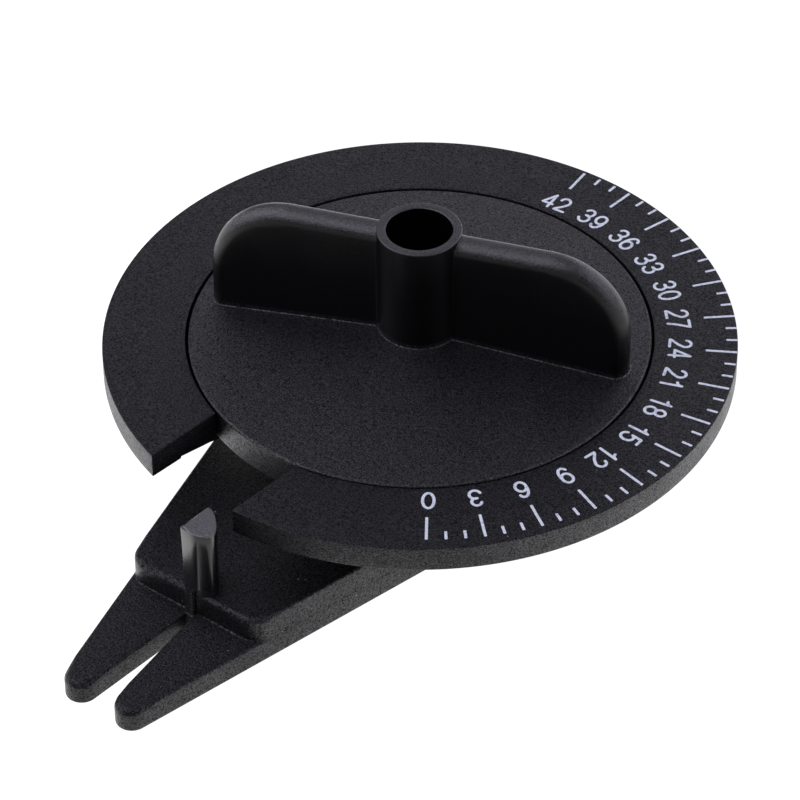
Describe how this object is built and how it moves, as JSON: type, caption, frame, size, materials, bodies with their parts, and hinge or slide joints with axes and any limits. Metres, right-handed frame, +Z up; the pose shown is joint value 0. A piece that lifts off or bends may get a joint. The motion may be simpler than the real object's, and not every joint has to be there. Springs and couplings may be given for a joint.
{
  "type": "string tension calibrator",
  "caption": "Hand tool that reads a racket string's tension: wing knob and notched scale dial over an arm with a sighting fork and pointer post.",
  "frame": {"origin": "on the pivot axis, on the flat underside of the foot, where the string bed sits", "axes": "+Z up along the pivot axis from the string bed to the wings, -Y along the fork's sighting slot"},
  "size_m": [0.08, 0.1041, 0.0551],
  "materials": {
    "black_abs": "fine spark texture, satin on the wings' edges",
    "black_dial_abs": "fine spark texture with a printed light scale",
    "plated_steel": "zinc plated, turned",
    "spring_steel": "drawn wire, lightly oiled",
    "white_acetal": "moulded, smooth",
    "black_rubber": "smooth moulded"
  },
  "bodies": {
    "base": {"base_arm": "black_abs", "pivot_spindle": "plated_steel", "thrust_washer": "white_acetal", "retaining_washer": "plated_steel", "retaining_screw": "plated_steel", "torsion_spring": "spring_steel", "stop_pin_zero": "plated_steel", "stop_pin_full": "plated_steel", "string_foot": "black_abs", "foot_screw_front": "plated_steel", "foot_screw_rear": "plated_steel", "string_post_left": "plated_steel", "string_post_right": "plated_steel"},
    "knob": {"knob_body": "black_abs", "pivot_bush": "white_acetal", "ring_retainer": "plated_steel", "retainer_screw_1": "plated_steel", "retainer_screw_2": "plated_steel", "retainer_screw_3": "plated_steel", "drag_ring": "black_rubber"},
    "ring": {"dial_ring": "black_dial_abs"}
  },
  "joints": [
    {"name": "knob_turn", "type": "hinge", "parent": "base", "child": "knob", "pos_m": [0, 0, 0.029], "axis": [0, 0, -1], "range_deg": [0, 190], "stiffness_Nm_per_rad": 0.12, "springref_deg": -2.86, "deforming": ["torsion_spring"]},
    {"name": "ring_adjust", "type": "hinge", "parent": "knob", "child": "ring", "pos_m": [0, 0, 0.029], "axis": [0, 0, 1], "continuous": true}
  ]
}
